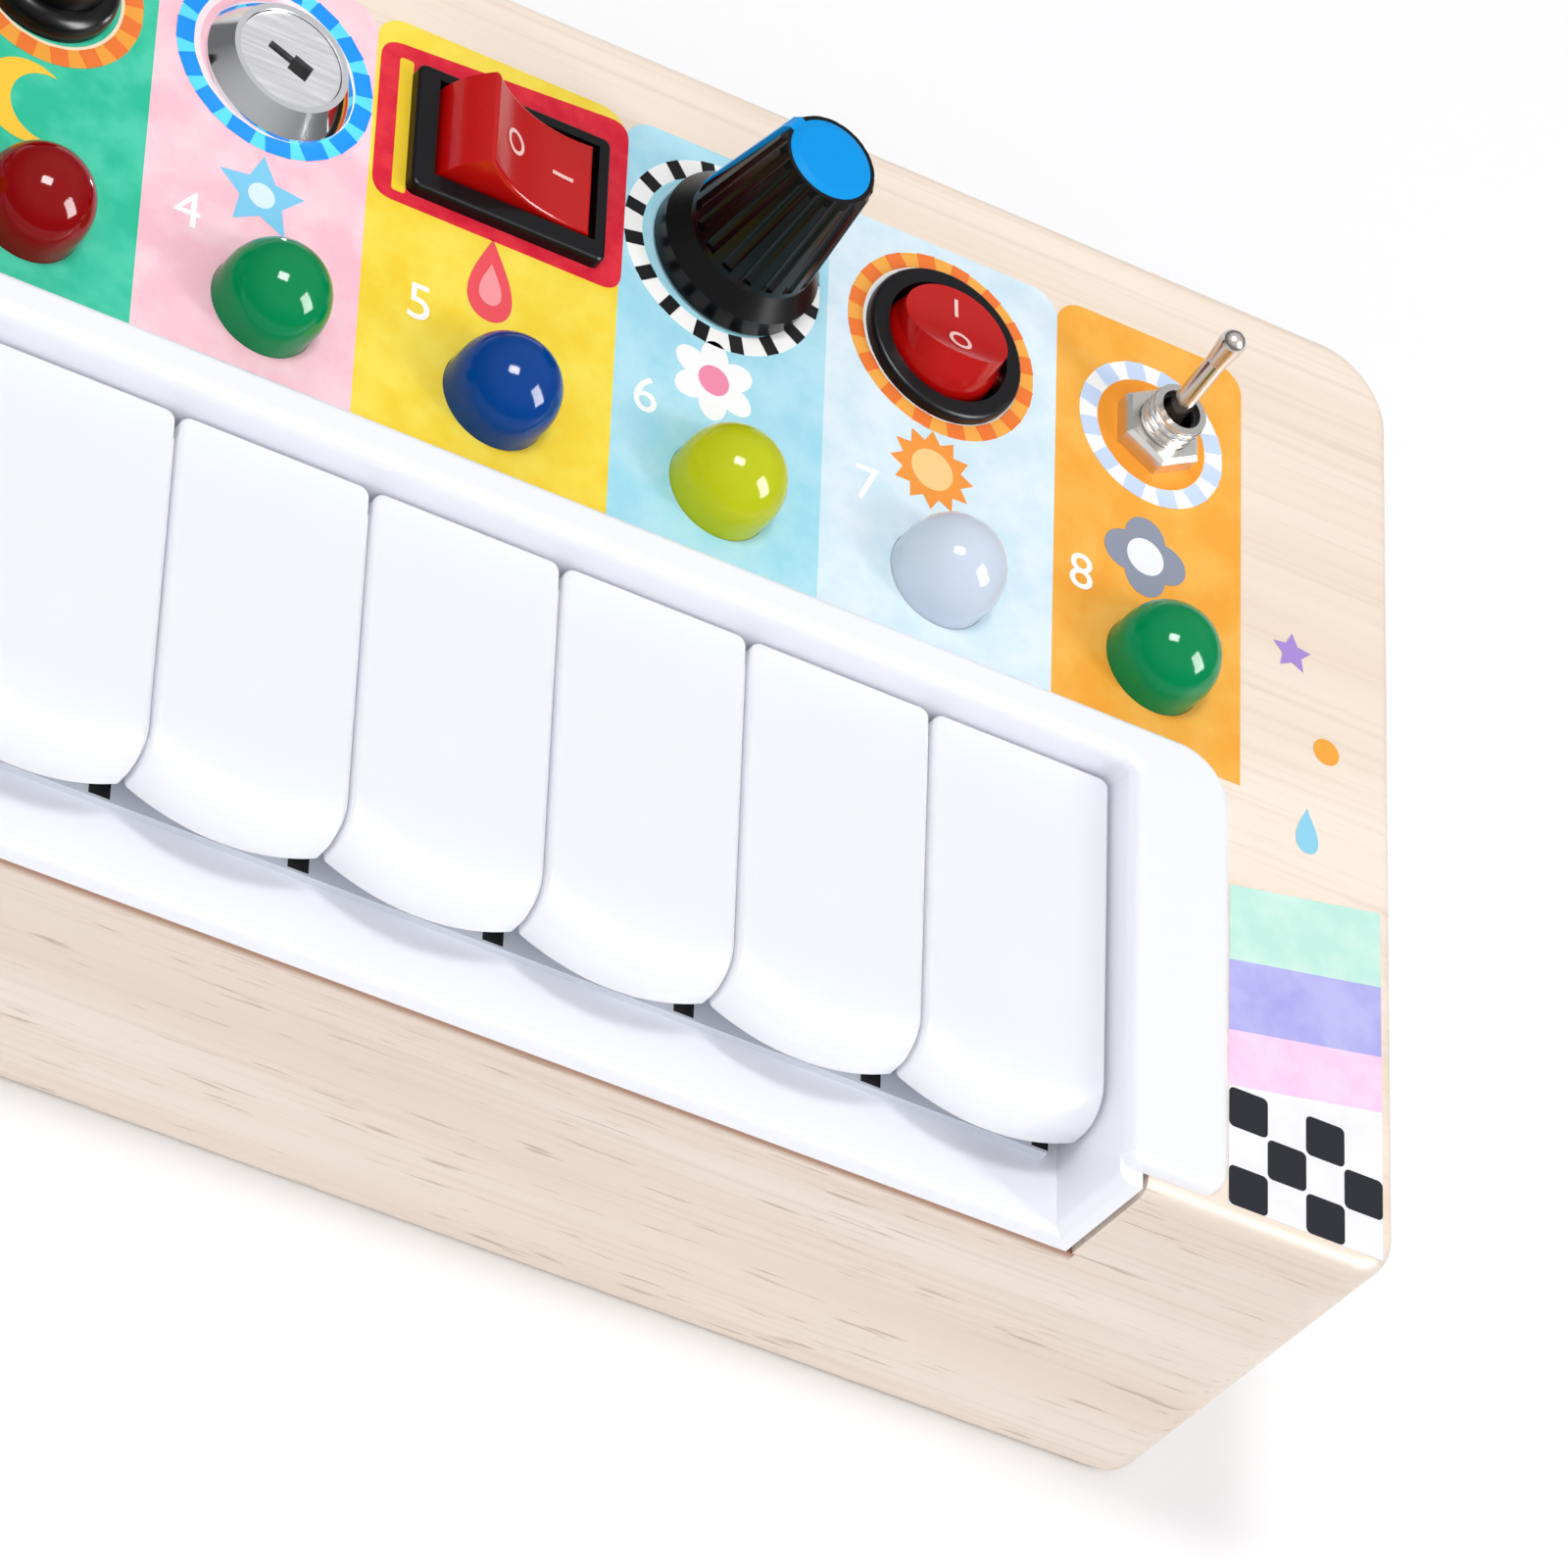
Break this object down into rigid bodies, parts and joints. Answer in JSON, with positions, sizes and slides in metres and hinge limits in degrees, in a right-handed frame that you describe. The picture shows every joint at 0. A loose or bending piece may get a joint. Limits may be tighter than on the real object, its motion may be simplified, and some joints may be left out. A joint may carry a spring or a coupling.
{
  "type": "busy_board",
  "caption": "Wooden toy board with a row of switches, a knob, a key lock and a push button, domed lamps under them and a small white piano keyboard in its front.",
  "frame": {"origin": "centre of the underside, on the surface the board rests on", "axes": "+X along the keyboard from low keys to high keys, +Y from the keyboard towards the switches, +Z out of the panel"},
  "size_m": [0.198, 0.0954, 0.0553],
  "materials": {
    "wood": "fine sanded beech, clear satin lacquer",
    "plywood": "raw three-ply",
    "white_abs": "moulded, satin",
    "key_abs": "moulded, glossy",
    "silicone": "moulded silicone",
    "foam": "cut foam strip",
    "circuit_board": "solder mask",
    "lens_red": "tinted epoxy, diffuse",
    "lens_green": "tinted epoxy, diffuse",
    "lens_blue": "tinted epoxy, diffuse",
    "lens_lime": "tinted epoxy, diffuse",
    "lens_milky": "milky epoxy, diffuse",
    "black_plastic": "moulded, satin",
    "red_plastic": "moulded, translucent",
    "blue_plastic": "moulded",
    "nickel": "nickel plated",
    "chrome": "bright plated",
    "steel": "zinc plated",
    "aluminium": "turned",
    "cone_paper": "pressed paper",
    "ferrite": "sintered, raw",
    "cell_jacket": "printed sleeve"
  },
  "bodies": {
    "board": {"wood_body": "wood", "base_panel": "plywood", "base_screws": "steel", "key_tray": "white_abs", "tray_screws": "steel", "key_rod": "steel", "key_board": "circuit_board", "key_stop_strip": "foam", "key_dome_1": "silicone", "key_dome_2": "silicone", "key_dome_3": "silicone", "key_dome_4": "silicone", "key_dome_5": "silicone", "key_dome_6": "silicone", "key_dome_7": "silicone", "key_dome_8": "silicone", "lamp_red": "lens_red", "lamps_green": "lens_green", "lamp_blue": "lens_blue", "lamps_lime": "lens_lime", "lamps_milky": "lens_milky", "lamp_board": "circuit_board", "main_board": "circuit_board", "board_posts": "black_plastic", "board_screws": "steel", "toggle_bodies": "nickel", "toggle_nuts": "nickel", "round_rocker_bodies": "black_plastic", "rect_rocker_body": "black_plastic", "pot_body": "steel", "pot_nut": "nickel", "lock_barrel": "chrome", "panel_nuts": "nickel", "push_button_body": "black_plastic", "speaker_frame": "steel", "speaker_cone": "cone_paper", "speaker_magnet": "ferrite", "battery_box": "black_plastic", "battery_door": "black_plastic", "battery_door_screw": "steel", "battery_cells": "cell_jacket", "battery_contacts": "nickel"},
    "key_1": {"key_1": "key_abs"},
    "key_2": {"key_2": "key_abs"},
    "key_3": {"key_3": "key_abs"},
    "key_4": {"key_4": "key_abs"},
    "key_5": {"key_5": "key_abs"},
    "key_6": {"key_6": "key_abs"},
    "key_7": {"key_7": "key_abs"},
    "key_8": {"key_8": "key_abs"},
    "toggle_lever_1": {"toggle_lever_1": "chrome"},
    "toggle_lever_8": {"toggle_lever_8": "chrome"},
    "round_rocker_2": {"round_rocker_2": "red_plastic"},
    "round_rocker_7": {"round_rocker_7": "red_plastic"},
    "rect_rocker": {"rect_rocker": "red_plastic"},
    "lock_plug": {"lock_plug": "chrome"},
    "push_button_cap": {"push_button_cap": "black_plastic"},
    "knob": {"pot_shaft": "aluminium", "knob_body": "black_plastic", "knob_cap": "blue_plastic"}
  },
  "joints": [
    {"name": "key_1_press", "type": "hinge", "parent": "board", "child": "key_1", "pos_m": [-0.06105, -0.00995, 0.0339], "axis": [1, 0, 0], "range_deg": [0, 3.5], "stiffness_Nm_per_rad": 0.12, "springref_deg": -6.02, "deforming": ["key_dome_1"]},
    {"name": "key_2_press", "type": "hinge", "parent": "board", "child": "key_2", "pos_m": [-0.04337, -0.00995, 0.0339], "axis": [1, 0, 0], "range_deg": [0, 3.5], "stiffness_Nm_per_rad": 0.12, "springref_deg": -6.02, "deforming": ["key_dome_2"]},
    {"name": "key_3_press", "type": "hinge", "parent": "board", "child": "key_3", "pos_m": [-0.0257, -0.00995, 0.0339], "axis": [1, 0, 0], "range_deg": [0, 3.5], "stiffness_Nm_per_rad": 0.12, "springref_deg": -6.02, "deforming": ["key_dome_3"]},
    {"name": "key_4_press", "type": "hinge", "parent": "board", "child": "key_4", "pos_m": [-0.00804, -0.00995, 0.0339], "axis": [1, 0, 0], "range_deg": [0, 3.5], "stiffness_Nm_per_rad": 0.12, "springref_deg": -6.02, "deforming": ["key_dome_4"]},
    {"name": "key_5_press", "type": "hinge", "parent": "board", "child": "key_5", "pos_m": [0.00963, -0.00995, 0.0339], "axis": [1, 0, 0], "range_deg": [0, 3.5], "stiffness_Nm_per_rad": 0.12, "springref_deg": -6.02, "deforming": ["key_dome_5"]},
    {"name": "key_6_press", "type": "hinge", "parent": "board", "child": "key_6", "pos_m": [0.0273, -0.00995, 0.0339], "axis": [1, 0, 0], "range_deg": [0, 3.5], "stiffness_Nm_per_rad": 0.12, "springref_deg": -6.02, "deforming": ["key_dome_6"]},
    {"name": "key_7_press", "type": "hinge", "parent": "board", "child": "key_7", "pos_m": [0.04498, -0.00995, 0.0339], "axis": [1, 0, 0], "range_deg": [0, 3.5], "stiffness_Nm_per_rad": 0.12, "springref_deg": -6.02, "deforming": ["key_dome_7"]},
    {"name": "key_8_press", "type": "hinge", "parent": "board", "child": "key_8", "pos_m": [0.06265, -0.00995, 0.0339], "axis": [1, 0, 0], "range_deg": [0, 3.5], "stiffness_Nm_per_rad": 0.12, "springref_deg": -6.02, "deforming": ["key_dome_8"]},
    {"name": "toggle_1_throw", "type": "hinge", "parent": "board", "child": "toggle_lever_1", "pos_m": [-0.07575, 0.02895, 0.0405], "axis": [1, 0, 0], "range_deg": [0, 23]},
    {"name": "toggle_8_throw", "type": "hinge", "parent": "board", "child": "toggle_lever_8", "pos_m": [0.07405, 0.02895, 0.0405], "axis": [1, 0, 0], "range_deg": [0, 23]},
    {"name": "round_rocker_2_rock", "type": "hinge", "parent": "board", "child": "round_rocker_2", "pos_m": [-0.05435, 0.02895, 0.038], "axis": [1, 0, 0], "range_deg": [0, 24]},
    {"name": "round_rocker_7_rock", "type": "hinge", "parent": "board", "child": "round_rocker_7", "pos_m": [0.05265, 0.02895, 0.038], "axis": [1, 0, 0], "range_deg": [0, 24]},
    {"name": "rect_rocker_rock", "type": "hinge", "parent": "board", "child": "rect_rocker", "pos_m": [0.01036, 0.02905, 0.0384], "axis": [0, -1, 0], "range_deg": [0, 37.4]},
    {"name": "knob_turn", "type": "hinge", "parent": "board", "child": "knob", "pos_m": [0.03165, 0.02895, 0.039], "axis": [0, 0, 1], "range_deg": [-205, 95]},
    {"name": "lock_turn", "type": "hinge", "parent": "board", "child": "lock_plug", "pos_m": [-0.01155, 0.02895, 0.039], "axis": [0, 0, 1], "range_deg": [-90, 0]},
    {"name": "push_button_press", "type": "slide", "parent": "board", "child": "push_button_cap", "axis": [0, 0, -1], "range_m": [0, 0.002], "stiffness_N_per_m": 600, "springref_m": -0.002}
  ]
}
